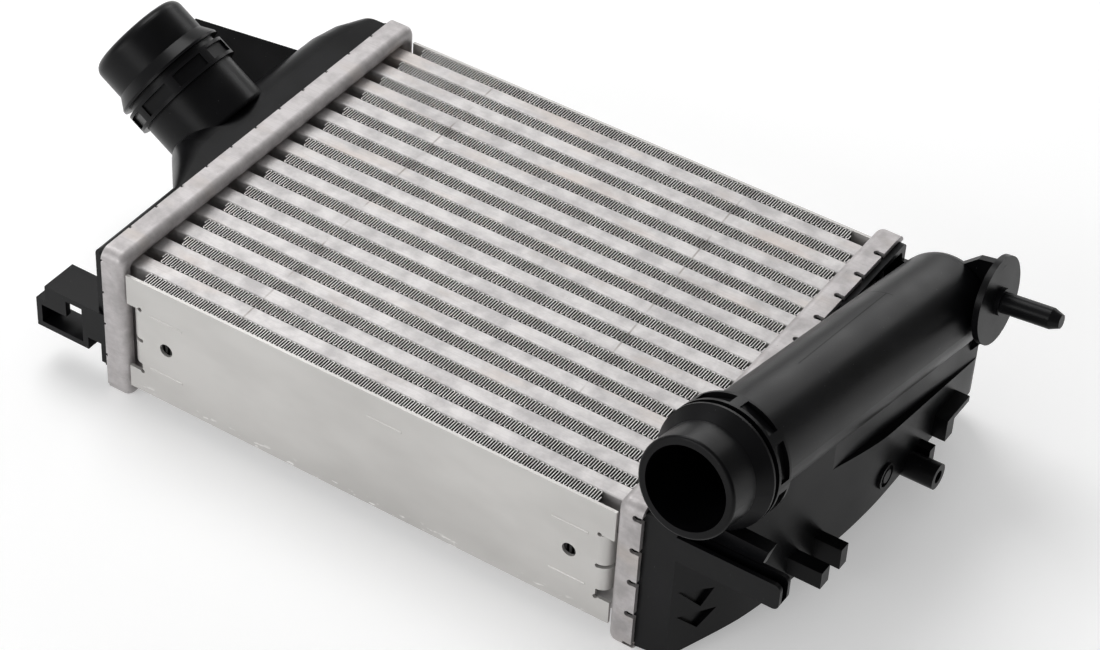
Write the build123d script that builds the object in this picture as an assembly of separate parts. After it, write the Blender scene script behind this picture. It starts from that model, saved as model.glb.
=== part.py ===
from build123d import *
import math
import os

os.makedirs("parts", exist_ok=True)

# Millimetres, +Z up. X runs along the tubes, left to right in the photo, and Y from the front
# side plate to the back one. Everything is built with the core's front bottom edge at the
# origin, and the last section moves the whole part so that it rests on Z = 0 about the centre.

beyond = 400.0             # more than the whole part, for cuts and limits that pass all of it
past = 1.0                 # how far a cutting shape runs past the face it opens

# Core
core_depth = 64.0          # air path through the core, the tubes' long side
core_start = 1.3           # X where the side plates begin
core_length = 254.6        # length of the side plates
tube_count = 14
tube_thick = 8.45
tube_wall = 0.6
tube_corner = 0.8
fin_height = 6.6
fin_wall = 0.2
fin_pitch = 2.6            # one full wave
fin_setback = 0.2          # below the tubes' edges
fin_end_gap = {-1: 4.6, 1: 1.4}   # from a side plate's end to the first fold, left and right
outer_fin_end_gap = 7.4    # the same for the two outer rows, beside the bent flaps
braze = 0.02               # gap left for the braze between touching pieces
turbulator_wall = 0.3
turbulator_pitch = 6.0
plate_thick = 1.5

# Header plates: a gutter round the edge holds the tank foot, the tube sheet lies inside it
sheet = 1.5
gutter_gap = 5.0
lip_gap = 0.6              # from a side plate's end to the gutter's rounded lip
band_width = 12.0          # along X, lip to crimped edge
header_corner = 5.6
header_side_gap = 1.0      # from the gutter's inner wall up or down to the tubes
header_overhang = 1.4      # how far a header stands out past the side plates
tube_sheet_back = 6.0      # tube sheet set back from the lip
tube_stub = 1.6            # tube showing behind the tube sheet
slot_gap = 0.05
# Between the crimped tabs the right plate has keyhole slots and the left one only nicks
crimp_pitch = 18.2
crimp_slot = {-1: 1.4, 1: 2.6}
crimp_slot_depth = {-1: 0.9, 1: 3.0}
crimp_keyhole_radius = 1.5
crimp_drop = 1.0           # the short edges' slots sit this far below the middle
crimp_lip = 2.4
round_margin = 0.02        # a full round's radius stays this much under half the width

# Tank feet and seals
foot_gap = 0.2
seal_height = 2.6
tank_wall = 3.0
crimp_clear = 0.3          # from a header's crimped edge to the tank body outside it

# Side plates
window_low = 12.0          # the windows at both ends, up from the bottom edge
window_high = 48.0
window_length = 7.2
flap_radius = 5.6          # of the flaps bent in from the window's edge
relief_radius = 1.1        # of the round notches at the ends of a flap's bend
relief_margin = 0.2        # how far a notch's cut runs past the sheet
flap_slit = 1.8            # between the two flaps
flap_gap = 0.6             # over the upper flap
flap_rise = 4.5            # under the lower flap
plate_hole_radius = 3.4
plate_hole_inset = 21.2
plate_hole_height = 31.2
bead_length = 18.0
bead_radius = 0.8
bead_height = 0.35         # above the plate's face
# Middle of each bead along X and Z
plate_beads = [(22.8, 46.7), (22.0, 15.9), (140.2, 50.6), (234.3, 45.6), (234.3, 16.0)]

# Spigots
shoulder_length = 7.0
groove_length = 2.8
groove_depth = 3.2
collar_length = 9.6
collar_rim = 1.6
collar_ribs = 8
collar_rib_width = 5.0
collar_floor = 2.6         # window depth below the collar's rims
round_steps = 8            # straight stretches that draw a turned round
shoulder_lip = 1.2

# Inlet tank, on the right: its duct slopes down from the mouth to the back
inlet_mouth = (291.8, -11.8, 107.0)
duct_run = (0.04, 1.0, -0.20)
duct_radius = 22.6
duct_wall = 2.8
duct_end_y = 208.5
duct_dome = 13.0
inlet_mouth_radius = 22.3
inlet_lip_round = 1.4
inlet_shoulder_back = 23.4       # mouth to the shoulder's edge
inlet_shoulder_radius = 27.2
inlet_collar_radius = 27.2
inlet_rise_gap = 1.0             # from the collar to where the body rises to the duct
inlet_bore_radius = 18.6
inlet_wall_front = 284.0         # where the tapered outer wall leaves the front face
inlet_wall_knee = (302.8, 40.0)
inlet_wall_middle = (309.0, 66.0)
inlet_wall_late = (314.5, 98.0)
inlet_wall_out = 317.3           # the outer wall's farthest reach
inlet_wall_flat = 132.0          # from here back the wall is straight
inlet_rear_round = 12.0          # where it turns in to the rear face
inlet_wall_steps = 8             # places along the curve that the room inside it follows
# Underside of the body in X and Z, rising outwards
inlet_underside = [(inlet_wall_front, -4.6), (300.0, 1.6), (315.0, 9.5), (330.0, 22.0)]
inlet_fill_start = 283.0         # what joins the low body to the duct above it
inlet_fill_face = 308.5
ledge_height = 73.6              # height of the wall's ledge at the front plate, falling as the duct does

# Double rail at the inlet tank's front
rail_start = 284.0
rail_end = 332.6
rail_front = 0.0
rail_plate = 2.0
rail_slot = 4.4
rail_low = 53.5
rail_floor = 55.0
rail_high = 66.5
rail_corner = 3.0
rail_block = [(286.0, 62.0), (318.6, 62.5), (322.0, 74.0), (286.0, 75.0)]   # X and Z, behind the rail
rail_block_back = 14.0

# Two triangular pockets in the tapered wall: distance along the wall, height
wall_pockets = [[(3.1, 32.6), (21.1, 27.7), (15.0, 19.3)], [(3.4, 17.8), (23.2, 15.4), (14.2, 7.3)]]
pocket_depth = 1.6
pocket_reach = 20.0              # how far the pockets' cut runs out of the wall

# Clips low on the inlet tank's outer wall: front, back, bottom and top of each
wall_clips = [(58.0, 65.0, 13.0, 22.0), (75.0, 81.0, 11.0, 22.0), (156.0, 161.0, 8.5, 18.5),
              (171.0, 178.0, 13.0, 25.0), (171.0, 192.0, 22.0, 25.0)]
clip_reach = 324.0
clip_root = 9.0                  # how deep a clip's root goes into the wall's curve
clip_boss_place = (150.0, 12.0)
clip_boss_radius = 6.2
clip_boss_bore = 3.2
clip_boss_reach = 332.0
wall_ring_place = (125.0, 24.0)
wall_ring_radius = 6.5
wall_ring_height = 1.2
wall_ring_rim = 1.2
wall_ring_groove = 2.0

# Outlet tank, on the left: its spigot points up and away from the core
outlet_shoulder = (-68.3, 120.0, 73.2)
outlet_rise = 33.3               # degrees above horizontal
outlet_bore_radius = 20.4
outlet_mouth_radius = 25.2
outlet_lip_round = 5.0
outlet_shoulder_back = 25.6
outlet_shoulder_radius = 28.8
outlet_collar_radius = 28.4
outlet_neck_radius = 25.6
outlet_neck_round = 2.0
outlet_neck_length = 24.0        # collar to where the neck ends inside the belly
# The belly's sections from front to back: place along Y, how far it stands out, corner radius
outlet_sections = [(2.0, 5.8, 4.0), (57.0, 6.2, 4.0), (90.0, 33.7, 20.0), (192.0, 33.7, 20.0),
                   (205.0, 30.0, 18.0), (216.4, 21.5, 14.0)]
outlet_room_lap = 1.6            # how much less the room stands off the header than a wall's thickness
# The front low corner is solid and cut away below a height, behind the header's crimped edge
outlet_corner_height = 3.2
outlet_corner_run = 7.0          # how far back the cut goes
outlet_corner_root = 1.8         # how far the solid corner reaches into the header
room_lap = 0.2                   # how far a tank's mouth runs on into its room

gusset_thick = 3.0
# The web beside the spigot: distance in from the shoulder, distance behind the axis
gusset_points = [(-13.5, 30.5), (-13.5, 32.5), (28.4, 66.5), (36.0, 66.5), (36.0, 20.0),
                 (13.0, 20.0), (13.0, 30.5)]

# Socket bracket at the outlet tank's front
socket_top = 34.0
socket_depth = 19.5
socket_out = -47.0               # top plate's free edge
socket_wall = 3.0
socket_root = 1.0                # from the header's crimped edge to the bracket's end in the wall
socket_hang = 22.0               # lower edge of the panel hanging from the top plate
socket_hang_in = -35.0
loop_out = -52.5
loop_high = 25.0
loop_low = 9.0
loop_shelf = 12.0
loop_depth = 14.0
loop_in = -22.8                  # where the loop's floor ends towards the tank
loop_web_low = 16.0              # lower edge of the web from there to the tank

# Locating disc and pin
disc_centre = (325.0, 200.0, 76.2)
disc_radius = 20.6
disc_thick = 3.0
pin_radius = 4.9
pin_root_radius = 6.4
pin_root_length = 4.0
pin_length = 31.4
pin_tip_length = 4.5
pin_tip_radius = 3.2
pin_tilt = 5.7                   # degrees above X
web_front = 202.0
web_thick = 3.5
web_outline = [(300.0, 45.0), (302.0, 82.0), (313.0, 92.0), (321.0, 93.5), (325.0, 92.0),
               (325.0, 54.0), (317.5, 42.0), (312.0, 36.0)]


def box(x0, x1, y0, y1, z0, z1):
    return Pos((x0 + x1) / 2, (y0 + y1) / 2, (z0 + z1) / 2) * Box(x1 - x0, y1 - y0, z1 - z0)


def yz_block(x0, x1, y0, y1, z0, z1, corner):
    """A slab along X whose YZ outline has rounded corners."""
    outline = RectangleRounded(y1 - y0, z1 - z0, corner)
    return Plane.YZ.offset(x0) * Pos((y0 + y1) / 2, (z0 + z1) / 2) * extrude(outline, x1 - x0)


def xz_prism(points, y0, y1):
    """A prism along Y from an outline given in X and Z."""
    face = make_face(Polyline([(x, y0, z) for x, z in points], close=True))
    return extrude(face, y1 - y0, dir=(0, 1, 0))


def xy_prism(points, z0, z1):
    """An upright prism from an outline given in X and Y."""
    face = make_face(Polyline([(x, y, z0) for x, y in points], close=True))
    return extrude(face, z1 - z0, dir=(0, 0, 1))


def one(shape):
    """The single solid that a boolean left."""
    return max(shape.solids(), key=lambda s: s.volume)


def folded_strip(start, stop, low, high, pitch, wall):
    """Closed outline of a strip folded into square waves along its first coordinate."""
    half = pitch / 2
    count = int((stop - start - wall) // half)
    ahead, behind = [(start, low)], [(start + wall, low)]
    for i in range(count):
        near = start + i * half
        far = near + half
        if i % 2 == 0:
            ahead += [(near, high), (far + wall, high)]
            behind += [(near + wall, high - wall), (far, high - wall)]
        else:
            ahead += [(near + wall, low + wall), (far, low + wall)]
            behind += [(near, low), (far + wall, low)]
    last = start + count * half
    level = low if count % 2 else high
    ahead.append((last + (wall if count % 2 else 0), level))
    behind.append((last + (0 if count % 2 else wall), level))
    return ahead + behind[::-1]


# Layout along Y: plate, fin, tube, fin and so on to the back plate
row_pitch = tube_thick + fin_height
core_width = 2 * plate_thick + tube_count * row_pitch + fin_height


def fin_front(row):
    return plate_thick + (row - 1) * row_pitch


def tube_front(number):
    return plate_thick + fin_height + (number - 1) * row_pitch


# Everything about a header is said for a side: left -1, right +1, with the lip towards the core
gutter = 2 * sheet + gutter_gap
header_low = -(gutter + header_side_gap)
header_high = core_depth + gutter + header_side_gap
header_front = -header_overhang
header_back = core_width + header_overhang
core_end = core_start + core_length
lip_x = {-1: core_start - lip_gap, 1: core_end + lip_gap}
edge_x = {side: lip_x[side] + side * band_width for side in (-1, 1)}
sheet_x = {side: lip_x[side] + side * tube_sheet_back for side in (-1, 1)}
tube_x = {side: sheet_x[side] + side * (sheet + tube_stub) for side in (-1, 1)}


def slab(side, near, far, inset, corner):
    """A slab across a header, from near to far off its lip, inset from the outer edges."""
    a, b = sorted((lip_x[side] + side * near, lip_x[side] + side * far))
    return yz_block(a, b, header_front + inset, header_back - inset, header_low + inset,
                    header_high - inset, corner)


# Tubes and the turbulators in them
tubes, turbulators = [], []
for number in range(1, tube_count + 1):
    front = tube_front(number) + braze
    back = tube_front(number) + tube_thick - braze
    outer = yz_block(tube_x[-1], tube_x[1], front, back, 0, core_depth, tube_corner)
    bore = yz_block(tube_x[-1] - past, tube_x[1] + past, front + tube_wall, back - tube_wall,
                    tube_wall, core_depth - tube_wall, tube_corner - tube_wall)
    tubes.append(one(outer - bore))
    outline = folded_strip(tube_corner + tube_wall, core_depth - tube_corner - tube_wall,
                           front + tube_wall + braze, back - tube_wall - braze,
                           turbulator_pitch, turbulator_wall)
    face = make_face(Polyline([(tube_x[-1] + tube_stub, y, z) for z, y in outline], close=True))
    turbulators.append(extrude(face, tube_x[1] - tube_x[-1] - 2 * tube_stub, dir=(1, 0, 0)))

# Air fins: each is one strip folded to and fro between its neighbours
fins = []
for row in range(1, tube_count + 2):
    outer = row in (1, tube_count + 1)
    first, last = [outer_fin_end_gap if outer else fin_end_gap[side] for side in (-1, 1)]
    outline = folded_strip(core_start + first, core_end - last, fin_front(row) + braze,
                           fin_front(row) + fin_height - braze, fin_pitch, fin_wall)
    fins.append(xy_prism(outline, fin_setback, core_depth - fin_setback))


# Header plates
def gutter_ring(side, near, far, gap):
    """What fills a header's gutter between two distances off the lip, with a gap all round."""
    ring = slab(side, near, far, sheet + gap, header_corner - sheet - gap) \
        - slab(side, near - past, far + past, gutter - sheet - gap, 2 * sheet + gap)
    return ring


def rounded_lip(side, ring, near, radius):
    edges = ring.edges().filter_by_position(Axis.X, lip_x[side] + side * near - 0.01,
                                            lip_x[side] + side * near + 0.01)
    return fillet(edges, radius)


def header_plate(side):
    shell = slab(side, 0, band_width, 0, header_corner) \
        - slab(side, -past, tube_sheet_back, gutter, sheet)
    shell = rounded_lip(side, shell, 0, gutter / 2 - round_margin)
    room = gutter_ring(side, sheet, band_width - sheet, 0)
    room = rounded_lip(side, room, sheet, gutter_gap / 2 - round_margin)
    plate = shell - room
    plate -= slab(side, tube_sheet_back + sheet, band_width - sheet, sheet, header_corner - sheet)
    plate -= slab(side, band_width - sheet - past, band_width + past, crimp_lip,
                  header_corner - crimp_lip)
    for number in range(1, tube_count + 1):
        front = tube_front(number) + braze - slot_gap
        back = tube_front(number) + tube_thick - braze + slot_gap
        a, b = sorted((sheet_x[side] - side * past, sheet_x[side] + side * (sheet + past)))
        plate -= yz_block(a, b, front, back, -slot_gap, core_depth + slot_gap, tube_corner)
    # Slots between the crimped tabs, spread from the middle of each edge
    half = crimp_slot[side] / 2
    inner_end = edge_x[side] - side * crimp_slot_depth[side]
    a, b = sorted((inner_end, edge_x[side] + side * past))
    cut = gutter / 2           # deep enough to pass through the sheet from outside
    middle_y, middle_z = (header_front + header_back) / 2, (header_low + header_high) / 2
    steps_y = int((header_back - middle_y - header_corner) // crimp_pitch)
    steps_z = int((header_high - middle_z - crimp_drop) // crimp_pitch)
    for step in range(-steps_y, steps_y + 1):
        y = middle_y + step * crimp_pitch
        for z0, z1 in ((header_low - past, header_low + cut), (header_high - cut, header_high + past)):
            plate -= box(a, b, y - half, y + half, z0, z1)
            if side == 1:
                plate -= Pos(inner_end, y, (z0 + z1) / 2) * Cylinder(crimp_keyhole_radius, z1 - z0)
    for step in range(-steps_z, steps_z + 1):
        z = middle_z - crimp_drop + step * crimp_pitch
        for y0, y1 in ((header_front - past, header_front + cut),
                       (header_back - cut, header_back + past)):
            plate -= box(a, b, y0, y1, z - half, z + half)
            if side == 1:
                plate -= Pos(inner_end, (y0 + y1) / 2, z) * Rot(90, 0, 0) \
                    * Cylinder(crimp_keyhole_radius, y1 - y0)
    return one(plate)


def seal(side):
    ring = gutter_ring(side, sheet + foot_gap / 2, sheet + seal_height, foot_gap / 2)
    return one(rounded_lip(side, ring, sheet + foot_gap / 2, gutter_gap / 2 - foot_gap))


# Side plates: a sheet with a window at each end, closed by two flaps bent in towards the core
def side_plate(front, inward):
    """A plate whose outer face is at front; inward is +1 for the front plate, -1 for the back."""
    def depth(a, b):
        return sorted((front + inward * a, front + inward * b))
    low, high = depth(0, plate_thick)
    plate = box(core_start, core_end, low, high, 0, core_depth)
    middle = (window_low + window_high) / 2
    for end, way in ((core_start, 1), (core_end, -1)):
        a, b = sorted((end - way * past, end + way * window_length))
        plate -= box(a, b, low - past, high + past, window_low, window_high)
        hinge = end + way * window_length
        for bottom, top in ((window_low + flap_rise, middle - flap_slit / 2),
                            (middle + flap_slit / 2, window_high - flap_gap)):
            ring = Circle(flap_radius) - Circle(flap_radius - plate_thick)
            a, b = sorted((hinge, hinge - way * (flap_radius + past)))
            quarter = extrude(ring, top - bottom) & box(a - hinge, b - hinge, -beyond, beyond, 0, beyond)
            keep_low, keep_high = sorted((-inward * (flap_radius + past), 0))
            quarter &= box(-beyond, beyond, keep_low, keep_high, 0, beyond)
            plate += Pos(hinge, front + inward * flap_radius, bottom) * quarter
        for z in (window_low, middle, window_high):
            plate -= Pos(hinge, front + inward * plate_thick / 2, z) * Rot(90, 0, 0) \
                * Cylinder(relief_radius, plate_thick + 2 * relief_margin)
        hole_x = end + way * plate_hole_inset
        bore_low, bore_high = depth(-past, plate_thick + past)
        plate -= Plane.XZ.offset(-bore_high) * Pos(hole_x, plate_hole_height) \
            * extrude(Circle(plate_hole_radius), bore_high - bore_low)
    bead_y = front + inward * (bead_radius - bead_height)
    for x, z in plate_beads:
        plate += Pos(x, bead_y, z) * Rot(0, 90, 0) * Cylinder(bead_radius, bead_length)
    return one(plate)


side_plate_front = side_plate(0, 1)
side_plate_back = side_plate(core_width, -1)


# Spigots, both of one pattern: lip, cylinder, flared shoulder, groove and a windowed collar
def arc_points(centre_r, centre_s, radius, start, stop):
    out = []
    for i in range(round_steps + 1):
        turn = math.radians(start + (stop - start) * i / round_steps)
        out.append((centre_r + radius * math.cos(turn), centre_s + radius * math.sin(turn)))
    return out


def turned(plane, points):
    """A solid turned about the plane's normal, from (radius, distance) points."""
    face = make_face(Polyline([(r, 0, s) for r, s in points], close=True))
    return plane * revolve(face, Axis.Z)


def spigot(plane, mouth_radius, lip_round, shoulder_back, shoulder_radius, collar_radius,
           rear_radius, rear_end, dome):
    """Solid spigot: the plane sits at the mouth and its normal points into the tank."""
    groove_radius = shoulder_radius - groove_depth
    collar_start = shoulder_back + groove_length
    collar_end = collar_start + collar_length
    points = [(0, 0)] + arc_points(mouth_radius - lip_round, lip_round, lip_round, -90, 0)
    points += [(mouth_radius, shoulder_back - shoulder_length),
               (shoulder_radius, shoulder_back - shoulder_lip), (shoulder_radius, shoulder_back),
               (groove_radius, shoulder_back), (groove_radius, collar_start),
               (collar_radius, collar_start), (collar_radius, collar_end), (rear_radius, collar_end)]
    points += arc_points(rear_radius - dome, rear_end - dome, dome, 0, 90) + [(0, rear_end)]
    body = turned(plane, points)
    window_width = 2 * math.pi * collar_radius / collar_ribs - collar_rib_width
    window_depth = collar_floor + past
    for i in range(collar_ribs):
        window = Rot(0, 0, 360 / collar_ribs * (i + 0.5)) \
            * Pos(collar_radius + past - window_depth / 2, 0, collar_start + collar_length / 2) \
            * Box(window_depth, window_width, collar_length - 2 * collar_rim)
        body -= plane * window
    return body


def unit(v):
    size = math.sqrt(sum(c * c for c in v))
    return tuple(c / size for c in v)


# Both tanks stand in the gutters on the seals, under the crimped tabs
foot_near = sheet + seal_height + foot_gap / 4
foot_far = band_width - sheet - foot_gap / 4
tank_inset = crimp_lip + foot_gap
tank_front = header_front + tank_inset
tank_back = header_back - tank_inset
tank_low = header_low + tank_inset
tank_high = header_high - tank_inset
opening_corner = 3.0


def foot(side):
    """The flange that the crimped tabs hold, and the short wall that leaves the header."""
    flange = gutter_ring(side, foot_near, foot_far, foot_gap)
    wall = slab(side, foot_near, band_width + tank_wall, tank_inset, header_corner - tank_inset)
    return flange + wall


def opening(side):
    """The mouth of a tank towards the tube ends, cut through its foot."""
    return slab(side, foot_near - past, band_width + crimp_clear + tank_wall + room_lap,
                tank_inset + tank_wall, opening_corner)


# Inlet tank: body behind the header, duct on top, spigot at the front
duct_way = unit(duct_run)
inlet_plane = Plane(origin=inlet_mouth, x_dir=(1, 0, 0), z_dir=duct_way)
duct_length = (duct_end_y - inlet_mouth[1]) / duct_way[1]
inlet_root = edge_x[1] + crimp_clear
inlet_collar_end = inlet_shoulder_back + groove_length + collar_length
inlet_rise_y = inlet_mouth[1] + inlet_collar_end * duct_way[1] + inlet_rise_gap

wall_line = Spline([(inlet_wall_front, tank_front), inlet_wall_knee, inlet_wall_middle,
                    inlet_wall_late, (inlet_wall_out, inlet_wall_flat)],
                   tangents=[(0.5, 1), (0, 1)])
inlet_section = [(inlet_root, tank_low)] + inlet_underside \
    + [(inlet_underside[-1][0], beyond), (inlet_fill_start, beyond), (inlet_fill_start, tank_high),
       (inlet_root, tank_high)]


def inside_wall(inset):
    """All that lies within the tapered outer wall and the rear face, moved in by inset."""
    stops = [i / inlet_wall_steps for i in range(inlet_wall_steps + 1)]
    ways = [wall_line.tangent_at(u) for u in stops]
    spots = [wall_line.position_at(u) + Vector(-way.Y, way.X, 0) * inset
             for u, way in zip(stops, ways)]
    before = spots[0] - ways[0] * ((spots[0].X - inlet_root) / ways[0].X)
    out, back, turn = inlet_wall_out - inset, tank_back - inset, inlet_rear_round - inset
    corner = turn * (1 - math.sqrt(0.5))
    plan = make_face(Wire([
        Line(before, spots[0]), Spline(spots, tangents=[ways[0], ways[-1]]),
        Line((out, inlet_wall_flat), (out, back - turn)),
        ThreePointArc((out, back - turn), (out - corner, back - corner), (out - turn, back)),
        Line((out - turn, back), (inlet_root, back)), Line((inlet_root, back), before)]))
    return extrude(Pos(0, 0, -beyond) * plan, 2 * beyond, dir=(0, 0, 1))


def inlet_body(inset):
    """The low body, or with an inset the room inside it."""
    body = inside_wall(inset) & box(inlet_root + inset, beyond, tank_front + inset, core_width,
                                    -beyond, beyond)
    section = make_face(Polyline([(x, 0, z) for x, z in inlet_section], close=True))
    if inset:
        section = offset(section, -inset)
    body &= extrude(section, core_width, dir=(0, 1, 0))
    # Nothing of the body stands above the duct's axis, nor under the collar at the front
    body -= inlet_plane * Pos(0, -beyond / 2, duct_length / 2) * Box(beyond, beyond, beyond)
    body -= box(0, beyond, -beyond, inlet_rise_y + inset, tank_high - inset, beyond)
    # The outer wall's upper part lies further in, above a ledge that falls as the duct does
    face_x = inlet_fill_face - inset
    low = ledge_height - inset
    recess = make_face(Polyline([(face_x, 0, low), (face_x, 0, beyond), (beyond, 0, beyond),
                                 (beyond, 0, low)], close=True))
    return body - extrude(recess, beyond, dir=duct_way)


def wall_plane():
    """On the tapered wall: X along it, Y up, and the normal pointing out of the tank."""
    start = (inlet_wall_front, tank_front)
    run = unit((inlet_wall_knee[0] - start[0], inlet_wall_knee[1] - start[1], 0))
    return Plane(origin=(start[0], start[1], 0), x_dir=run, z_dir=(run[1], -run[0], 0))


def inlet_tank():
    tank = foot(1) + inlet_body(0)
    tank += spigot(inlet_plane, inlet_mouth_radius, inlet_lip_round, inlet_shoulder_back,
                   inlet_shoulder_radius, inlet_collar_radius, duct_radius, duct_length, duct_dome)
    # Rail: two plates with a slot between them
    rail_back = rail_front + 2 * rail_plate + rail_slot
    rail = box(rail_start, rail_end, rail_front, rail_back, rail_low, rail_high)
    rail = fillet(rail.edges().filter_by(Axis.Y).group_by(Axis.X)[-1], rail_corner)
    rail -= box(rail_start - past, rail_end + past, rail_front + rail_plate,
                rail_front + rail_plate + rail_slot, rail_floor, rail_high + past)
    tank += rail + xz_prism(rail_block, rail_back - rail_plate / 2, rail_block_back)
    # Clips and boss low on the wall
    for front, back, low, high in wall_clips:
        tank += box(inlet_wall_middle[0] - clip_root, clip_reach, front, back, low, high)
    boss_y, boss_z = clip_boss_place
    boss = Plane.YZ.offset(inlet_wall_out - clip_root) * Pos(boss_y, boss_z)
    tank += boss * extrude(Circle(clip_boss_radius), clip_boss_reach - inlet_wall_out + clip_root)
    ring_y, ring_z = wall_ring_place
    ring = Plane.YZ.offset(inlet_wall_out - tank_wall) * Pos(ring_y, ring_z)
    tank += ring * extrude(Circle(wall_ring_radius), tank_wall + wall_ring_height)
    # Web, disc and locating pin at the rear
    tank += xz_prism(web_outline, web_front, web_front + web_thick)
    tilt = math.radians(pin_tilt)
    pin_plane = Plane(origin=disc_centre, x_dir=(0, 1, 0),
                      z_dir=(math.cos(tilt), 0, math.sin(tilt)))
    tank += pin_plane * Pos(0, 0, -disc_thick / 2) * extrude(Circle(disc_radius), disc_thick)
    tank += turned(pin_plane, [(0, 0), (pin_root_radius, 0), (pin_root_radius, pin_root_length),
                               (pin_radius, pin_root_length), (pin_radius, pin_length - pin_tip_length),
                               (pin_tip_radius, pin_length), (0, pin_length)])
    # The rooms: body, duct, bore and the opening towards the tubes
    tank -= inlet_body(tank_wall)
    duct_bore = duct_radius - duct_wall
    tank -= turned(inlet_plane, [(0, -past), (inlet_bore_radius, -past),
                                 (inlet_bore_radius, inlet_collar_end),
                                 (duct_bore, inlet_collar_end), (duct_bore, duct_length - duct_dome),
                                 (duct_bore - duct_dome / 2, duct_length - duct_wall),
                                 (0, duct_length - duct_wall)])
    tank -= opening(1)
    # Boss bore, ring groove and the two pockets
    tank -= boss * Pos(0, 0, clip_root) * extrude(Circle(clip_boss_bore), clip_boss_reach)
    ring_top = ring * Pos(0, 0, tank_wall)
    groove_outer = wall_ring_radius - wall_ring_rim
    groove = Circle(groove_outer) - Circle(groove_outer - wall_ring_groove)
    tank -= ring_top * extrude(groove, wall_ring_height + past)
    for corners in wall_pockets:
        pocket = extrude(make_face(Polyline(corners, close=True)), pocket_reach)
        tank -= wall_plane() * Pos(0, 0, -pocket_depth) * pocket
    return one(tank)


# Outlet tank: a low front part, a deep belly, and an oblique spigot on it
def outlet_section(y, out, radius, inset):
    """Closed outline of the belly's section at y, its flat side towards the header."""
    root = edge_x[-1] - (inset - outlet_room_lap if inset else crimp_clear)
    low, high = tank_low + inset, tank_high - inset
    far = edge_x[-1] - out + inset
    r = max(radius - inset, 1.0)
    corner = r * (1 - math.sqrt(0.5))
    wire = Wire([
        Line((root, y, low), (far + r, y, low)),
        ThreePointArc((far + r, y, low), (far + corner, y, low + corner), (far, y, low + r)),
        Line((far, y, low + r), (far, y, high - r)),
        ThreePointArc((far, y, high - r), (far + corner, y, high - corner), (far + r, y, high)),
        Line((far + r, y, high), (root, y, high)),
        Line((root, y, high), (root, y, low))])
    return Face(wire)


def outlet_belly(inset):
    belly = None
    last = len(outlet_sections) - 1
    for i in range(last):
        y0, out0, r0 = outlet_sections[i]
        y1, out1, r1 = outlet_sections[i + 1]
        y0 = y0 + inset if i == 0 else y0
        y1 = y1 - inset if i == last - 1 else y1
        piece = loft([outlet_section(y0, out0, r0, inset), outlet_section(y1, out1, r1, inset)],
                     ruled=True)
        belly = piece if belly is None else belly + piece
    return belly


def outlet_tank():
    rise = math.radians(outlet_rise)
    inward = (math.cos(rise), 0, -math.sin(rise))
    mouth = tuple(outlet_shoulder[i] - inward[i] * outlet_shoulder_back for i in range(3))
    plane = Plane(origin=mouth, x_dir=(0, 1, 0), z_dir=inward)
    collar_end = outlet_shoulder_back + groove_length + collar_length
    neck_end = collar_end + outlet_neck_length
    tank = foot(-1) + outlet_belly(0)
    tank += spigot(plane, outlet_mouth_radius, outlet_lip_round, outlet_shoulder_back,
                   outlet_shoulder_radius, outlet_collar_radius, outlet_neck_radius, neck_end,
                   outlet_neck_round)
    # The web lies in the plane of the spigot's axis, with its X pointing into the tank
    beside = Plane(origin=outlet_shoulder, x_dir=inward, z_dir=(-inward[2], 0, inward[0]))
    gusset = make_face(Polyline(gusset_points, close=True))
    tank += beside * Pos(0, 0, -gusset_thick / 2) * extrude(gusset, gusset_thick)
    # Socket bracket: a top plate, a panel hanging from it and a loop below
    root_x = edge_x[-1] - socket_root
    tank += box(socket_out, root_x, 0, socket_depth, socket_top - socket_wall, socket_top)
    tank += box(socket_out, socket_hang_in, 0, socket_wall, socket_hang, socket_top)
    tank += box(loop_out, loop_out + socket_wall, 0, loop_depth, loop_low, loop_high)
    tank += box(loop_out, loop_in, 0, loop_depth, loop_low, loop_shelf)
    tank += box(loop_out, socket_out + socket_wall, 0, loop_depth, loop_high - socket_wall, loop_high)
    tank += box(loop_in - socket_wall, loop_in, 0, socket_depth, loop_low, socket_top)
    tank += box(loop_in - past, root_x, 0, socket_wall, loop_web_low, socket_top)
    # The rooms: belly, neck and bore, and the opening towards the tubes
    tank -= outlet_belly(tank_wall)
    tank -= turned(plane, [(0, -past), (outlet_bore_radius, -past), (outlet_bore_radius, collar_end),
                           (outlet_neck_radius - tank_wall, collar_end),
                           (outlet_neck_radius - tank_wall, neck_end), (0, neck_end)])
    tank -= opening(-1)
    # The front low corner: filled, then cut back from outside
    corner_x = edge_x[-1] - crimp_clear
    far = edge_x[-1] - outlet_sections[0][1]
    low_z, high_z = tank_low, outlet_corner_height
    corner_back = tank_front + outlet_corner_run
    tank += box(far + tank_wall, corner_x + outlet_corner_root, tank_front + past,
                corner_back + tank_wall, low_z + past, high_z + tank_wall)
    tank -= box(far - past, corner_x, tank_front - past, corner_back, low_z - past, high_z)
    return one(tank)


# Every piece under its node's name
pieces = {
    "header_plate_left": header_plate(-1),
    "header_plate_right": header_plate(1),
    "tank_seal_left": seal(-1),
    "tank_seal_right": seal(1),
    "outlet_tank": outlet_tank(),
    "inlet_tank": inlet_tank(),
    "side_plate_front": side_plate_front,
    "side_plate_back": side_plate_back,
}
for number, (tube, turbulator) in enumerate(zip(tubes, turbulators), start=1):
    pieces[f"tube_{number:02d}"] = tube
    pieces[f"turbulator_{number:02d}"] = turbulator
for row, fin in enumerate(fins, start=1):
    pieces[f"fin_{row:02d}"] = fin

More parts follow.
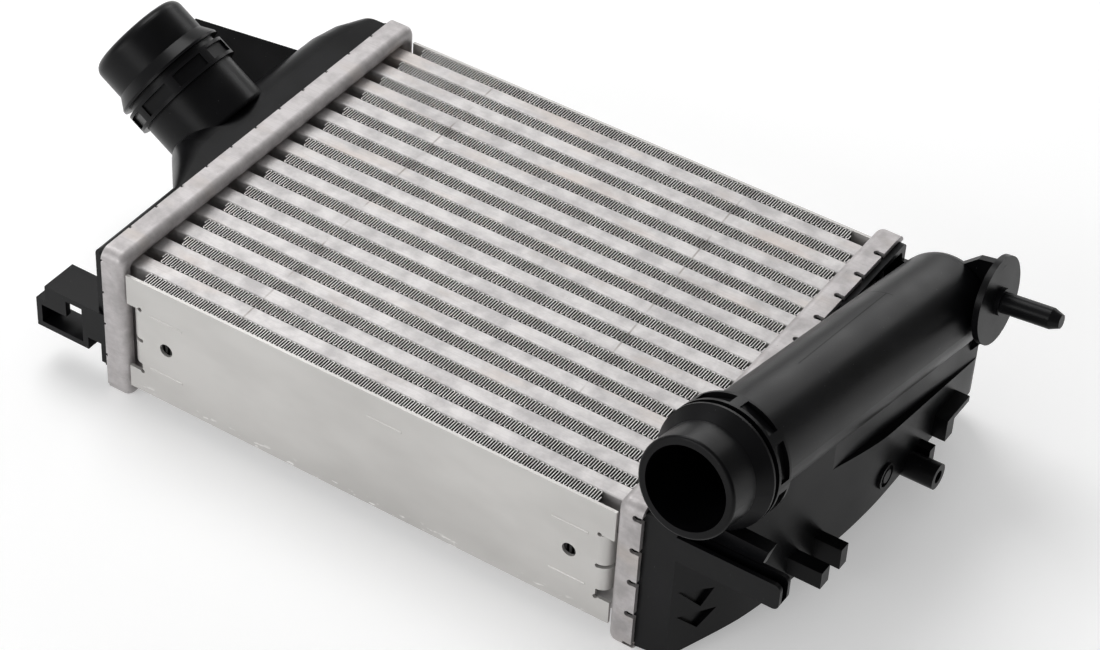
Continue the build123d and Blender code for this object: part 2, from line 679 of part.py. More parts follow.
# The whole part rests on Z = 0 with its box centred on the origin
bounds = [shape.bounding_box() for shape in pieces.values()]
low = [min(getattr(b.min, axis) for b in bounds) for axis in "XYZ"]
high = [max(getattr(b.max, axis) for b in bounds) for axis in "XYZ"]
to_frame = Pos(-(low[0] + high[0]) / 2, -(low[1] + high[1]) / 2, -low[2])
for name, shape in pieces.items():
    export_step(to_frame * shape, f"parts/{name}.step")
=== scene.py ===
import math
import bmesh
import bpy
from mathutils import Matrix, Vector


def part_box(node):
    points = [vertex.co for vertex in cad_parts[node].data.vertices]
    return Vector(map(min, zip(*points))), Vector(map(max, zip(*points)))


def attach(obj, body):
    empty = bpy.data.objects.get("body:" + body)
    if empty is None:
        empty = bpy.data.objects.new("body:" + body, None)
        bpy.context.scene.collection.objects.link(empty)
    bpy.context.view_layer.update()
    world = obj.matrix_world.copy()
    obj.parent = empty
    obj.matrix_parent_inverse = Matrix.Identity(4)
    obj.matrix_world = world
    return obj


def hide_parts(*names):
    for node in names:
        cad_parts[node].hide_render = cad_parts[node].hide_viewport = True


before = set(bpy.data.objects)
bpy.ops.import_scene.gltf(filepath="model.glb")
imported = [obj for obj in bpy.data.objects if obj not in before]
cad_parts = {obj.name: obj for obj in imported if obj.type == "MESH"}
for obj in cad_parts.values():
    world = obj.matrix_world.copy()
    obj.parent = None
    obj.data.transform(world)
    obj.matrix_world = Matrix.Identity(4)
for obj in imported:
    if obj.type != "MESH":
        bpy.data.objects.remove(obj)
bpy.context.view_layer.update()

# Tubes: flat extruded aluminium, brazed to the fins and headers in a furnace. The flux leaves
# them matt and pale with cloudy patches, drawn lines along each tube, and two faint marks across
# the whole core where the brazing straps lay.
MM = 0.001
TUBE_PALE, TUBE_GREY, TUBE_WARM = "#D4D1D0", "#B4B1B1", "#CDC3BC"
SPECK = "#6E6C6C"
# Sizes of the patterns in mm, and the noise levels between which each one comes in
CLOUD_SIZE, WARM_SIZE, DRAWN_SIZE, SPECK_SIZE, GRAIN_SIZE = 11.0, 16.0, 0.9, 1.7, 0.7
WARM_STRETCH, DRAWN_STRETCH = (3, 1, 1), (24, 1, 1)
CLOUD_LEVELS, WARM_LEVELS, GRAIN_LEVELS = (0.38, 0.66), (0.56, 0.74), (0.3, 0.7)
DRAWN_LEVELS, SPECK_LEVELS = (0.5, 0.8), (0.735, 0.76)
WARM_SHARE, DRAWN_SHARE, SPECK_SHARE = 0.7, 0.5, 0.65    # how far each one takes over the colour
BRAZED_METALLIC = 0.45                               # under the flux the metal shows only in part
BRAZED_ROUGH = (0.42, 0.56)
BRAZED_RELIEF = 0.04                                 # mm
DRAWN_RELIEF = 0.6                                   # the drawn lines' depth against the grain's
STRAP_MARKS = [(-71.0, -0.034), (72.5, -0.075)]      # X in mm at the core's middle, and its slant
STRAP_LINE = "#7C746C"
STRAP_LINE_WIDTH = 1.1                               # mm, the line left on each tube
STRAP_LINE_SHARE = 0.6
STRAP_PATCH_SIZE, STRAP_PATCH_LEVELS = 14.0, (0.42, 0.6)


def linear(code):
    """A hex colour as seen on screen, as the linear light that a shader takes."""
    parts = [int(code[i:i + 2], 16) / 255 for i in (1, 3, 5)]
    return [c / 12.92 if c <= 0.04045 else ((c + 0.055) / 1.055) ** 2.4 for c in parts] + [1.0]


def add(tree, kind, given=None, **settings):
    """A node with its settings; each given input, by name or place, takes a value or a node."""
    made = tree.nodes.new(kind)
    for name, value in settings.items():
        setattr(made, name, value)
    for name, value in (given or {}).items():
        if isinstance(name, int):
            taken = made.inputs[name]
        else:
            taken = next(socket for socket in made.inputs if socket.enabled and socket.name == name)
        if isinstance(value, bpy.types.Node):
            value = next(socket for socket in value.outputs if socket.enabled)
        if isinstance(value, bpy.types.NodeSocket):
            tree.links.new(value, taken)
        else:
            taken.default_value = value
    return made


def material(name, **constants):
    """A material with a principled shader; constants are set on the shader's own sockets."""
    made = bpy.data.materials.new(name)
    made.use_nodes = True
    shader = made.node_tree.nodes["Principled BSDF"]
    for key, value in constants.items():
        shader.inputs[key.replace("_", " ")].default_value = value
    return made, made.node_tree, shader


def in_mm(tree, stretch=(1, 1, 1)):
    """The place on the object in millimetres, stretched by a factor along each axis."""
    place = add(tree, "ShaderNodeTexCoord").outputs["Object"]
    scale = [1 / (MM * s) for s in stretch]
    return add(tree, "ShaderNodeMapping", {"Vector": place, "Scale": scale})


def strap_shade(tree, width_mm):
    """1 on the two marks across the core and 0 elsewhere, broken up along their length."""
    axes = add(tree, "ShaderNodeSeparateXYZ", {"Vector": in_mm(tree)}).outputs
    patches = add(tree, "ShaderNodeTexNoise", {"Vector": in_mm(tree), "Scale": 1 / STRAP_PATCH_SIZE,
                                               "Detail": 2.0})
    shade = add(tree, "ShaderNodeMapRange", {"Value": patches, "From Min": STRAP_PATCH_LEVELS[0],
                                             "From Max": STRAP_PATCH_LEVELS[1]})
    marks = []
    for middle, slant in STRAP_MARKS:
        line = add(tree, "ShaderNodeMath", {0: axes["Y"], 1: slant, 2: middle}, operation="MULTIPLY_ADD")
        off = add(tree, "ShaderNodeMath", {0: axes["X"], 1: line}, operation="SUBTRACT")
        away = add(tree, "ShaderNodeMath", {0: off}, operation="ABSOLUTE")
        marks.append(add(tree, "ShaderNodeMapRange", {"Value": away, "From Min": width_mm / 4,
                                                      "From Max": width_mm / 2, "To Min": 1.0,
                                                      "To Max": 0.0}))
    either = add(tree, "ShaderNodeMath", {0: marks[0], 1: marks[1]}, operation="MAXIMUM")
    return add(tree, "ShaderNodeMath", {0: either, 1: shade}, operation="MULTIPLY")


def brazed_aluminium(name, pale, grey, warm):
    """Furnace-brazed aluminium: satin, cloudy from the flux, with fine drawn lines along X."""
    made, tree, shader = material(name, Metallic=BRAZED_METALLIC)
    place = in_mm(tree)
    clouds = add(tree, "ShaderNodeTexNoise", {"Vector": place, "Scale": 1 / CLOUD_SIZE, "Detail": 4.0,
                                              "Roughness": 0.6})
    clouds = add(tree, "ShaderNodeMapRange", {"Value": clouds, "From Min": CLOUD_LEVELS[0],
                                              "From Max": CLOUD_LEVELS[1]})
    tone = add(tree, "ShaderNodeMix", {"Factor": clouds, "A": linear(pale), "B": linear(grey)},
               data_type="RGBA")
    warmth = add(tree, "ShaderNodeTexNoise", {"Vector": in_mm(tree, WARM_STRETCH),
                                              "Scale": 1 / WARM_SIZE, "Detail": 3.0})
    warmth = add(tree, "ShaderNodeMapRange", {"Value": warmth, "From Min": WARM_LEVELS[0],
                                              "From Max": WARM_LEVELS[1], "To Max": WARM_SHARE})
    tone = add(tree, "ShaderNodeMix", {"Factor": warmth, "A": tone, "B": linear(warm)},
               data_type="RGBA")
    drawn = add(tree, "ShaderNodeTexNoise", {"Vector": in_mm(tree, DRAWN_STRETCH),
                                             "Scale": 1 / DRAWN_SIZE, "Detail": 3.0,
                                             "Roughness": 0.6})
    lines = add(tree, "ShaderNodeMapRange", {"Value": drawn, "From Min": DRAWN_LEVELS[0],
                                             "From Max": DRAWN_LEVELS[1], "To Max": DRAWN_SHARE})
    tone = add(tree, "ShaderNodeMix", {"Factor": lines, "A": tone, "B": linear(grey)},
               data_type="RGBA")
    specks = add(tree, "ShaderNodeTexNoise", {"Vector": place, "Scale": 1 / SPECK_SIZE, "Detail": 2.0,
                                              "Roughness": 0.8})
    specks = add(tree, "ShaderNodeMapRange", {"Value": specks, "From Min": SPECK_LEVELS[0],
                                              "From Max": SPECK_LEVELS[1], "To Max": SPECK_SHARE})
    tone = add(tree, "ShaderNodeMix", {"Factor": specks, "A": tone, "B": linear(SPECK)},
               data_type="RGBA")
    grain = add(tree, "ShaderNodeTexNoise", {"Vector": place, "Scale": 1 / GRAIN_SIZE, "Detail": 2.0,
                                             "Roughness": 0.6})
    rough = add(tree, "ShaderNodeMapRange", {"Value": grain, "From Min": GRAIN_LEVELS[0],
                                             "From Max": GRAIN_LEVELS[1], "To Min": BRAZED_ROUGH[0],
                                             "To Max": BRAZED_ROUGH[1]})
    relief = add(tree, "ShaderNodeMath", {0: drawn, 1: DRAWN_RELIEF, 2: grain},
                 operation="MULTIPLY_ADD")
    relief = add(tree, "ShaderNodeBump", {"Height": relief, "Strength": 1.0,
                                          "Distance": BRAZED_RELIEF * MM})
    tree.links.new(tone.outputs[2], shader.inputs["Base Color"])
    tree.links.new(rough.outputs[0], shader.inputs["Roughness"])
    tree.links.new(relief.outputs[0], shader.inputs["Normal"])
    return made, tree, shader, tone


def finish(prefix, look):
    """Gives the look to every CAD node whose name starts with the prefix."""
    for name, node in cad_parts.items():
        if name.startswith(prefix):
            node.data.materials.clear()
            node.data.materials.append(look)


tube_look, tree, shader, tone = brazed_aluminium("tube_aluminium", TUBE_PALE, TUBE_GREY, TUBE_WARM)
marks = add(tree, "ShaderNodeMath", {0: strap_shade(tree, STRAP_LINE_WIDTH), 1: STRAP_LINE_SHARE},
            operation="MULTIPLY")
tone = add(tree, "ShaderNodeMix", {"Factor": marks, "A": tone, "B": linear(STRAP_LINE)},
           data_type="RGBA")
tree.links.new(tone.outputs[2], shader.inputs["Base Color"])
finish("tube_", tube_look)

# Header plates: pressed aluminium sheet from the same furnace, rolled into a gutter round the
# edge. They come out greyer and more clouded than the tubes.
HEADER_PALE, HEADER_GREY, HEADER_WARM = "#C6C2C2", "#A9A5A5", "#BDB5AF"
finish("header_plate", brazed_aluminium("header_aluminium", HEADER_PALE, HEADER_GREY, HEADER_WARM)[0])

# Side plates: smooth pressed aluminium sheet, paler and more even than the headers, with small
# dent marks along the lower edge where the core stood in its brazing rack. A painted highlight
# makes the marks bright.
PLATE_PALE, PLATE_GREY, PLATE_DENT_HIGHLIGHT = "#D3D1CE", "#C6C4C1", "#F4F2F0"
PLATE_CLOUD_SIZE, PLATE_GRAIN_SIZE, DENT_SIZE = 30.0, 0.6, 2.2       # mm
PLATE_CLOUD_STRETCH, DENT_STRETCH = (2, 1, 1), (3, 1, 1)
PLATE_CLOUD_LEVELS, DENT_LEVELS = (0.35, 0.7), (0.62, 0.68)
DENT_BAND = 5.0                                      # mm above the plate's lower edge
DENT_RELIEF = -6.0                                   # the dents' depth against the grain's
PLATE_METALLIC = 0.4
PLATE_ROUGH = (0.38, 0.46)
PLATE_RELIEF = 0.015                                 # mm


def pressed_sheet():
    """Smooth satin sheet, faint clouds, and a band of dent marks at its lower edge with a painted
    highlight.
    """
    made, tree, shader = material("pressed_sheet_aluminium", Metallic=PLATE_METALLIC)
    clouds = add(tree, "ShaderNodeTexNoise", {"Vector": in_mm(tree, PLATE_CLOUD_STRETCH),
                                              "Scale": 1 / PLATE_CLOUD_SIZE, "Detail": 3.0})
    clouds = add(tree, "ShaderNodeMapRange", {"Value": clouds, "From Min": PLATE_CLOUD_LEVELS[0],
                                              "From Max": PLATE_CLOUD_LEVELS[1]})
    tone = add(tree, "ShaderNodeMix", {"Factor": clouds, "A": linear(PLATE_PALE),
                                       "B": linear(PLATE_GREY)}, data_type="RGBA")
    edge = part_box("side_plate_front")[0][2] / MM
    tall = add(tree, "ShaderNodeSeparateXYZ", {"Vector": in_mm(tree)}).outputs["Z"]
    band = add(tree, "ShaderNodeMapRange", {"Value": tall, "From Min": edge + DENT_BAND / 2,
                                            "From Max": edge + DENT_BAND, "To Min": 1.0,
                                            "To Max": 0.0})
    dents_and_highlight = add(tree, "ShaderNodeTexNoise", {"Vector": in_mm(tree, DENT_STRETCH),
                                             "Scale": 1 / DENT_SIZE, "Detail": 2.0})
    dents_and_highlight = add(tree, "ShaderNodeMapRange", {"Value": dents_and_highlight, "From Min": DENT_LEVELS[0],
                                             "From Max": DENT_LEVELS[1]})
    dents_and_highlight = add(tree, "ShaderNodeMath", {0: dents_and_highlight, 1: band}, operation="MULTIPLY")
    # Painted highlight: the dent marks take a pale colour where they would catch the lamps
    tone = add(tree, "ShaderNodeMix", {"Factor": dents_and_highlight, "A": tone, "B": linear(PLATE_DENT_HIGHLIGHT)},
               data_type="RGBA")
    grain = add(tree, "ShaderNodeTexNoise", {"Vector": in_mm(tree), "Scale": 1 / PLATE_GRAIN_SIZE,
                                             "Detail": 2.0, "Roughness": 0.6})
    rough = add(tree, "ShaderNodeMapRange", {"Value": grain, "From Min": GRAIN_LEVELS[0],
                                             "From Max": GRAIN_LEVELS[1], "To Min": PLATE_ROUGH[0],
                                             "To Max": PLATE_ROUGH[1]})
    relief = add(tree, "ShaderNodeMath", {0: dents_and_highlight, 1: DENT_RELIEF, 2: grain},
                 operation="MULTIPLY_ADD")
    relief = add(tree, "ShaderNodeBump", {"Height": relief, "Strength": 1.0,
                                          "Distance": PLATE_RELIEF * MM})
    tree.links.new(tone.outputs[2], shader.inputs["Base Color"])
    tree.links.new(rough.outputs[0], shader.inputs["Roughness"])
    tree.links.new(relief.outputs[0], shader.inputs["Normal"])
    return made


finish("side_plate", pressed_sheet())

# Fins: thin aluminium strip folded to and fro, one row between each two tubes. The folds have
# round bends, which the plain solids don't, so each row is made anew in its solid's place. The
# straps that held the core in the furnace left dark patches across the rows.
FIN_PITCH = 2.6 * MM
FIN_SHEET = 0.36 * MM      # the real strip is about 0.1; this is as fine as still shows
BEND_STEPS = 5
FIN_WELD = 1e-6            # metres within which the ends of two folds are one
# The third colour is the painted shade of the flanks in the depth of the core
FIN_PALE, FIN_GREY, FIN_PAINTED_SHADE = "#EEECEB", "#D2CFCE", "#222121"
FIN_METALLIC, FIN_ROUGH = 0.3, 0.45
FIN_CLOUD_SIZE, FIN_CLOUD_LEVELS = 7.0, (0.35, 0.65)
FIN_EDGE = (0.1, 0.4)      # mm in from the strip's edges, where the bright edge turns to the flank's painted shade
STRAP_SHADOW = "#5E5A57"
STRAP_SHADOW_WIDTH = 9.0   # mm
STRAP_SHADOW_SHARE = 0.35


def fin_stock():
    """Bright at the strip's edges, with painted shade in the depth, where the louvres swallow the light.
    """
    made, tree, shader = material("fin_aluminium", Metallic=FIN_METALLIC, Roughness=FIN_ROUGH)
    clouds = add(tree, "ShaderNodeTexNoise", {"Vector": in_mm(tree), "Scale": 1 / FIN_CLOUD_SIZE,
                                              "Detail": 3.0})
    clouds = add(tree, "ShaderNodeMapRange", {"Value": clouds, "From Min": FIN_CLOUD_LEVELS[0],
                                              "From Max": FIN_CLOUD_LEVELS[1]})
    tone = add(tree, "ShaderNodeMix", {"Factor": clouds, "A": linear(FIN_PALE), "B": linear(FIN_GREY)},
               data_type="RGBA")
    # Both faces of the core look alike, so the flank's painted shade grows with the depth from either one
    low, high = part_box("fin_02")
    middle, half = (low[2] + high[2]) / 2 / MM, (high[2] - low[2]) / 2 / MM
    tall = add(tree, "ShaderNodeSeparateXYZ", {"Vector": in_mm(tree)}).outputs["Z"]
    off = add(tree, "ShaderNodeMath", {0: tall, 1: middle}, operation="SUBTRACT")
    off = add(tree, "ShaderNodeMath", {0: off}, operation="ABSOLUTE")
    painted_depth_shade = add(tree, "ShaderNodeMapRange", {"Value": off, "From Min": half - FIN_EDGE[1],
                                            "From Max": half - FIN_EDGE[0], "To Min": 1.0,
                                            "To Max": 0.0})
    # Painted shade: the flank darkens with its depth into the core
    tone = add(tree, "ShaderNodeMix", {"Factor": painted_depth_shade, "A": tone, "B": linear(FIN_PAINTED_SHADE)},
               data_type="RGBA")
    marks = add(tree, "ShaderNodeMath", {0: strap_shade(tree, STRAP_SHADOW_WIDTH),
                                         1: STRAP_SHADOW_SHARE}, operation="MULTIPLY")
    tone = add(tree, "ShaderNodeMix", {"Factor": marks, "A": tone, "B": linear(STRAP_SHADOW)},
               data_type="RGBA")
    tree.links.new(tone.outputs[2], shader.inputs["Base Color"])
    return made


def fold_mesh(height, low, high):
    """One wave of the strip, from mid-flank to mid-flank, between two heights along Z."""
    radius = FIN_PITCH / 4
    straight = height / 2 - radius - FIN_SHEET / 2
    path = [(0.0, 0.0)]
    for centre_x, sign in ((radius, 1), (3 * radius, -1)):
        for step in range(BEND_STEPS + 1):
            turn = math.pi * (1 - step / BEND_STEPS)
            path.append((centre_x + radius * math.cos(turn),
                         sign * (straight + radius * math.sin(turn))))
    path.append((FIN_PITCH, 0.0))
    shell = bmesh.new()
    rings = []
    for i, (x, y) in enumerate(path):
        before, after = path[max(i - 1, 0)], path[min(i + 1, len(path) - 1)]
        way = Vector((after[0] - before[0], after[1] - before[1]))
        if i in (0, len(path) - 1):
            way = Vector((0, 1))
        side = Vector((-way.y, way.x)).normalized() * FIN_SHEET / 2
        rings.append([shell.verts.new((x + s * side.x, y + s * side.y, z))
                      for s, z in ((1, low), (1, high), (-1, high), (-1, low))])
    for one, other in zip(rings, rings[1:]):
        for k in range(4):
            shell.faces.new((one[k], one[k - 1], other[k - 1], other[k]))
    mesh = bpy.data.meshes.new("fold")
    shell.to_mesh(mesh)
    shell.free()
    return mesh


def row_tree():
    """Geometry Nodes: a fold repeated along X and joined into one strip."""
    tree = bpy.data.node_groups.new("fin_row", "GeometryNodeTree")
    for name, kind in (("Fold", "NodeSocketGeometry"), ("Folds", "NodeSocketInt"),
                       ("Pitch", "NodeSocketVector"), ("Start", "NodeSocketVector"),
                       ("Sheet", "NodeSocketMaterial")):
        tree.interface.new_socket(name, in_out="INPUT", socket_type=kind)
    tree.interface.new_socket("Row", in_out="OUTPUT", socket_type="NodeSocketGeometry")
    asked = tree.nodes.new("NodeGroupInput").outputs
    line = add(tree, "GeometryNodeMeshLine", {"Count": asked["Folds"], "Start Location": asked["Start"],
                                              "Offset": asked["Pitch"]})
    folds = add(tree, "GeometryNodeInstanceOnPoints", {"Points": line, "Instance": asked["Fold"]})
    whole = add(tree, "GeometryNodeRealizeInstances", {"Geometry": folds})
    joined = add(tree, "GeometryNodeMergeByDistance", {"Geometry": whole, "Distance": FIN_WELD})
    dressed = add(tree, "GeometryNodeSetMaterial", {"Geometry": joined, "Material": asked["Sheet"]})
    add(tree, "NodeGroupOutput", {"Row": dressed})
    return tree, {item.name: item.identifier for item in tree.interface.items_tree}


fin_look = fin_stock()
fin_tree, inputs = row_tree()
for name in sorted(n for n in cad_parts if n.startswith("fin_")):
    low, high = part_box(name)
    length, height = high[0] - low[0], high[1] - low[1]
    fold = bpy.data.objects.new("fold", fold_mesh(height, low[2], high[2]))
    bpy.context.scene.collection.objects.link(fold)
    row = fold.modifiers.new("row", "NODES")
    row.node_group = fin_tree
    row[inputs["Folds"]] = int((length - FIN_SHEET) / FIN_PITCH)
    row[inputs["Pitch"]] = (FIN_PITCH, 0, 0)
    row[inputs["Start"]] = (low[0] + FIN_SHEET / 2, (low[1] + high[1]) / 2, 0)
    row[inputs["Sheet"]] = fin_look
    shown = fold.evaluated_get(bpy.context.evaluated_depsgraph_get())
    strip = bpy.data.meshes.new_from_object(shown)
    bpy.data.objects.remove(fold)
    ends = bmesh.new()
    ends.from_mesh(strip)
    bmesh.ops.holes_fill(ends, edges=[e for e in ends.edges if e.is_boundary], sides=4)
    bmesh.ops.recalc_face_normals(ends, faces=ends.faces)
    ends.to_mesh(strip)
    ends.free()
    piece = bpy.data.objects.new("folded_" + name, strip)
    bpy.context.scene.collection.objects.link(piece)
    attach(piece, "root")
    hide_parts(name)

# Turbulators: the same thin aluminium strip, folded and pushed into each tube before brazing.
# They are seen only through the tubes' ends.
# They take the fins' look, with its painted shade in the depth.
finish("turbulator_", fin_look)

# Tanks: glass-filled black nylon, injection moulded. The surface is satin with a very fine grain,
# cloudier where the glass shows, with a few pale specks of dust. On the inlet tank the mould's
# slides left a fine seam along the top of the duct, ending in a seam across it.
NYLON_BLACK, NYLON_GREY, NYLON_DUST = "#070708", "#0F0F11", "#7A797B"
NYLON_CLOUD_SIZE, DUST_SIZE, NYLON_GRAIN_SIZE = 26.0, 1.3, 0.45      # mm
NYLON_CLOUD_LEVELS, DUST_LEVELS = (0.35, 0.65), (0.74, 0.77)
DUST_SHARE = 0.5
NYLON_SHINE = 0.15                                   # matt moulded skin, duller than bare nylon
NYLON_ROUGH = (0.28, 0.38)
NYLON_RELIEF = 0.02                                  # mm
# The seam colour is painted shade for the seam grooves
SEAM_PAINTED_SHADE = "#010101"
SEAM_SHINE = 0.08
SEAM_X = 166.3                                       # mm, where the seam along the duct lies
SEAM_FRONT, SEAM_BACK = -30.0, 49.2                  # mm along Y, its ends; the other crosses the back one
SEAM_CROSS_END = 169.5                               # mm along X, where the seam across ends
SEAM_HALF = 0.3                                      # mm, wider than the real one so that it shows
SEAM_LOW = 95.0                                      # mm, both lie above this height


def glass_filled_nylon(name):
    """Black nylon: almost no colour of its own, a fine grain, cloudy shine and specks of dust."""
    made, tree, shader = material(name, Specular_IOR_Level=NYLON_SHINE)
    place = in_mm(tree)
    clouds = add(tree, "ShaderNodeTexNoise", {"Vector": place, "Scale": 1 / NYLON_CLOUD_SIZE,
                                              "Detail": 3.0})
    cloudy = add(tree, "ShaderNodeMapRange", {"Value": clouds, "From Min": NYLON_CLOUD_LEVELS[0],
                                              "From Max": NYLON_CLOUD_LEVELS[1]})
    tone = add(tree, "ShaderNodeMix", {"Factor": cloudy, "A": linear(NYLON_BLACK),
                                       "B": linear(NYLON_GREY)}, data_type="RGBA")
    dust = add(tree, "ShaderNodeTexNoise", {"Vector": place, "Scale": 1 / DUST_SIZE, "Detail": 2.0,
                                            "Roughness": 0.8})
    dust = add(tree, "ShaderNodeMapRange", {"Value": dust, "From Min": DUST_LEVELS[0],
                                            "From Max": DUST_LEVELS[1], "To Max": DUST_SHARE})
    tone = add(tree, "ShaderNodeMix", {"Factor": dust, "A": tone, "B": linear(NYLON_DUST)},
               data_type="RGBA")
    rough = add(tree, "ShaderNodeMapRange", {"Value": clouds, "From Min": GRAIN_LEVELS[0],
                                             "From Max": GRAIN_LEVELS[1], "To Min": NYLON_ROUGH[0],
                                             "To Max": NYLON_ROUGH[1]})
    grain = add(tree, "ShaderNodeTexNoise", {"Vector": place, "Scale": 1 / NYLON_GRAIN_SIZE,
                                             "Detail": 2.0})
    relief = add(tree, "ShaderNodeBump", {"Height": grain, "Strength": 1.0,
                                          "Distance": NYLON_RELIEF * MM})
    tree.links.new(tone.outputs[2], shader.inputs["Base Color"])
    tree.links.new(rough.outputs[0], shader.inputs["Roughness"])
    tree.links.new(relief.outputs[0], shader.inputs["Normal"])
    return made, tree, shader, tone


finish("outlet_tank", glass_filled_nylon("outlet_tank_nylon")[0])

inlet_look, tree, shader, tone = glass_filled_nylon("inlet_tank_nylon")
axes = add(tree, "ShaderNodeSeparateXYZ", {"Vector": in_mm(tree)}).outputs
along = add(tree, "ShaderNodeMath", {0: axes["X"], 1: SEAM_X, 2: SEAM_HALF}, operation="COMPARE")
near = add(tree, "ShaderNodeMath", {0: axes["Y"], 1: (SEAM_BACK + SEAM_FRONT) / 2,
                                    2: (SEAM_BACK - SEAM_FRONT) / 2}, operation="COMPARE")
along = add(tree, "ShaderNodeMath", {0: along, 1: near}, operation="MULTIPLY")
across = add(tree, "ShaderNodeMath", {0: axes["Y"], 1: SEAM_BACK, 2: SEAM_HALF},
             operation="COMPARE")
near = add(tree, "ShaderNodeMath", {0: axes["X"], 1: SEAM_CROSS_END}, operation="LESS_THAN")
across = add(tree, "ShaderNodeMath", {0: across, 1: near}, operation="MULTIPLY")
seam_shade_mask = add(tree, "ShaderNodeMath", {0: along, 1: across}, operation="MAXIMUM")
on_top = add(tree, "ShaderNodeMath", {0: axes["Z"], 1: SEAM_LOW}, operation="GREATER_THAN")
seam_shade_mask = add(tree, "ShaderNodeMath", {0: seam_shade_mask, 1: on_top}, operation="MULTIPLY")
# Painted shade: each seam's groove is darkened in the colour
tone = add(tree, "ShaderNodeMix", {"Factor": seam_shade_mask, "A": tone, "B": linear(SEAM_PAINTED_SHADE)},
           data_type="RGBA")
tree.links.new(tone.outputs[2], shader.inputs["Base Color"])
# A seam is a sharp groove, so it gives back less of the lamps' light than the face beside it
shine = add(tree, "ShaderNodeMapRange", {"Value": seam_shade_mask, "To Min": NYLON_SHINE,
                                        "To Max": SEAM_SHINE})
tree.links.new(shine.outputs[0], shader.inputs["Specular IOR Level"])
finish("inlet_tank", inlet_look)

# Seals: black rubber cords under the tank feet, out of sight in the headers' gutters. The rubber
# is matt with a fine grain.
RUBBER_BLACK, RUBBER_GREY = "#101010", "#1A1A1A"
RUBBER_ROUGH = 0.8
RUBBER_GRAIN_SIZE = 0.8                              # mm
seal_look, tree, shader = material("seal_rubber", Roughness=RUBBER_ROUGH)
grain = add(tree, "ShaderNodeTexNoise", {"Vector": in_mm(tree), "Scale": 1 / RUBBER_GRAIN_SIZE,
                                         "Detail": 3.0})
tone = add(tree, "ShaderNodeMix", {"Factor": grain, "A": linear(RUBBER_BLACK),
                                   "B": linear(RUBBER_GREY)}, data_type="RGBA")
tree.links.new(tone.outputs[2], shader.inputs["Base Color"])
finish("tank_seal", seal_look)

# Studio: a pale floor that keeps the shadow and shows white, a soft world that is brighter on the
# left, and three large lamps, one high on the left, one in front and one behind.
FLOOR_COLOUR, FLOOR_ROUGH, FLOOR_SHINE = "#E8E8E8", 0.95, 0.1
FLOOR_REACH = 6.0                                    # metres from the middle to each edge
FLOOR_GLOW = 0.34                                    # what lifts the floor to white where it is seen
WORLD_LEFT, WORLD_RIGHT = 0.55, 0.12
WHITE = (1, 1, 1, 1)
corners = [(x * FLOOR_REACH, y * FLOOR_REACH, 0) for x, y in ((-1, -1), (1, -1), (1, 1), (-1, 1))]
floor_mesh = bpy.data.meshes.new("floor")
floor_mesh.from_pydata(corners, [], [(0, 1, 2, 3)])
floor = bpy.data.objects.new("floor", floor_mesh)
bpy.context.scene.collection.objects.link(floor)
floor_paint, tree, shader = material("floor_paint", Base_Color=linear(FLOOR_COLOUR),
                                     Roughness=FLOOR_ROUGH, Specular_IOR_Level=FLOOR_SHINE,
                                     Emission_Color=WHITE)
ray = add(tree, "ShaderNodeLightPath").outputs
seen = add(tree, "ShaderNodeMath", {0: ray["Is Camera Ray"], 1: ray["Is Glossy Ray"]},
           operation="MAXIMUM")
seen = add(tree, "ShaderNodeMath", {0: seen, 1: ray["Is Transmission Ray"]}, operation="MAXIMUM")
glow = add(tree, "ShaderNodeMath", {0: seen, 1: FLOOR_GLOW}, operation="MULTIPLY")
tree.links.new(glow.outputs[0], shader.inputs["Emission Strength"])
floor_mesh.materials.append(floor_paint)

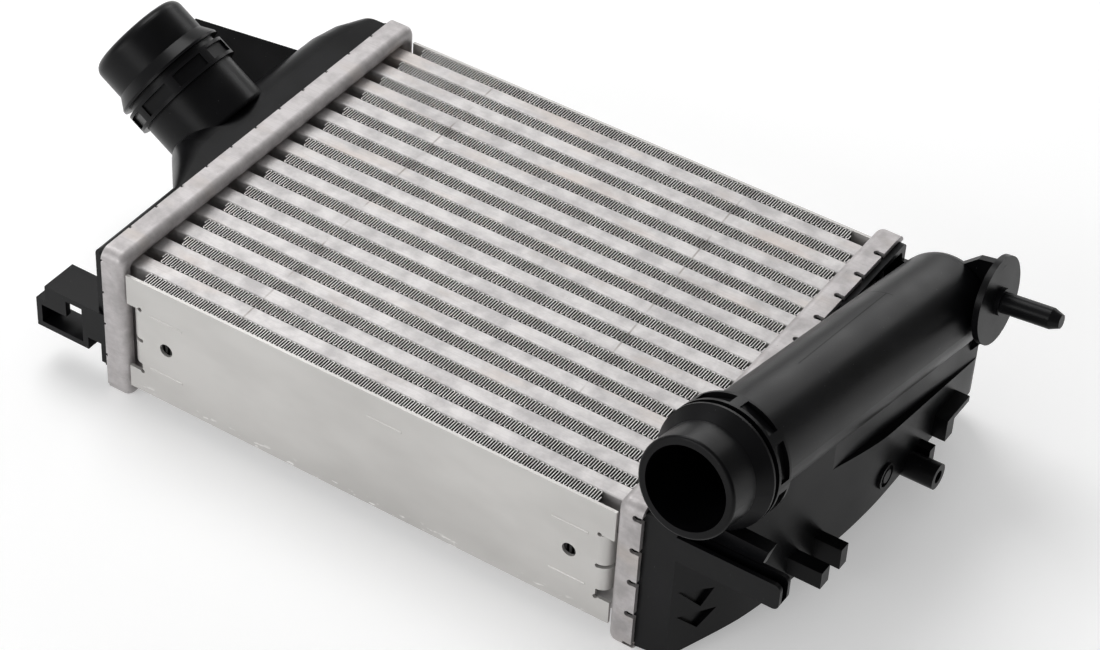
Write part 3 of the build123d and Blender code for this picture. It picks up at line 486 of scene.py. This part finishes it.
world = bpy.data.worlds.new("studio")
world.use_nodes = True
bpy.context.scene.world = world
tree = world.node_tree
tree.nodes.clear()
ray = add(tree, "ShaderNodeLightPath").outputs
white = add(tree, "ShaderNodeBackground", {"Color": WHITE, "Strength": 1.0})
way = add(tree, "ShaderNodeTexCoord").outputs["Generated"]
across = add(tree, "ShaderNodeSeparateXYZ", {"Vector": way}).outputs["X"]
level = add(tree, "ShaderNodeMapRange", {"Value": across, "From Min": -1.0, "From Max": 1.0,
                                         "To Min": WORLD_LEFT, "To Max": WORLD_RIGHT})
soft = add(tree, "ShaderNodeBackground", {"Color": WHITE, "Strength": level})
seen = add(tree, "ShaderNodeMath", {0: ray["Is Camera Ray"], 1: ray["Is Transmission Ray"]},
           operation="MAXIMUM")
either = add(tree, "ShaderNodeMixShader", {0: seen, 1: soft, 2: white})
add(tree, "ShaderNodeOutputWorld", {"Surface": either})


def softbox(name, place, aim, size, power):
    """A large flat lamp at a place, turned to what it is aimed at; metres and watts."""
    lamp_data = bpy.data.lights.new(name, "AREA")
    lamp_data.shape = "RECTANGLE"
    lamp_data.size, lamp_data.size_y = size
    lamp_data.energy = power
    lamp = bpy.data.objects.new(name, lamp_data)
    bpy.context.scene.collection.objects.link(lamp)
    lamp.location = place
    lamp.rotation_euler = (Vector(aim) - Vector(place)).to_track_quat("-Z", "Y").to_euler()


softbox("key", place=(-0.9, 0.5, 1.6), aim=(0, 0, 0.05), size=(1.0, 1.0), power=15)
softbox("front", place=(-0.5, -1.7, 0.75), aim=(0, 0, 0.05), size=(1.6, 0.8), power=12)
softbox("back", place=(-0.25, 1.75, 0.8), aim=(0.1, 0, 0.08), size=(1.6, 0.5), power=8)

# Camera: its place, turn and lens were solved from the core's straight edges in the photograph.
# The turn is given by which way the picture's right, its top and the camera's back point.
CAMERA_LENS, CAMERA_SENSOR = 101.34, 36.0            # mm
CAMERA_PLACE = Vector((0.566623, -0.897547, 0.944800))
CAMERA_RIGHT = Vector((0.8358, 0.5463, 0.0468))
CAMERA_UP = Vector((-0.3852, 0.5243, 0.7592))
CAMERA_BACK = Vector((0.3904, -0.6530, 0.6490))
camera_data = bpy.data.cameras.new("photo_view")
camera_data.lens = CAMERA_LENS
camera_data.sensor_width = CAMERA_SENSOR
camera = bpy.data.objects.new("photo_view", camera_data)
bpy.context.scene.collection.objects.link(camera)
turn = Matrix((CAMERA_RIGHT, CAMERA_UP, CAMERA_BACK)).transposed().to_quaternion()
camera.matrix_world = Matrix.LocRotScale(CAMERA_PLACE, turn, None)
bpy.context.scene.camera = camera
bpy.context.scene.view_settings.view_transform = "Standard"
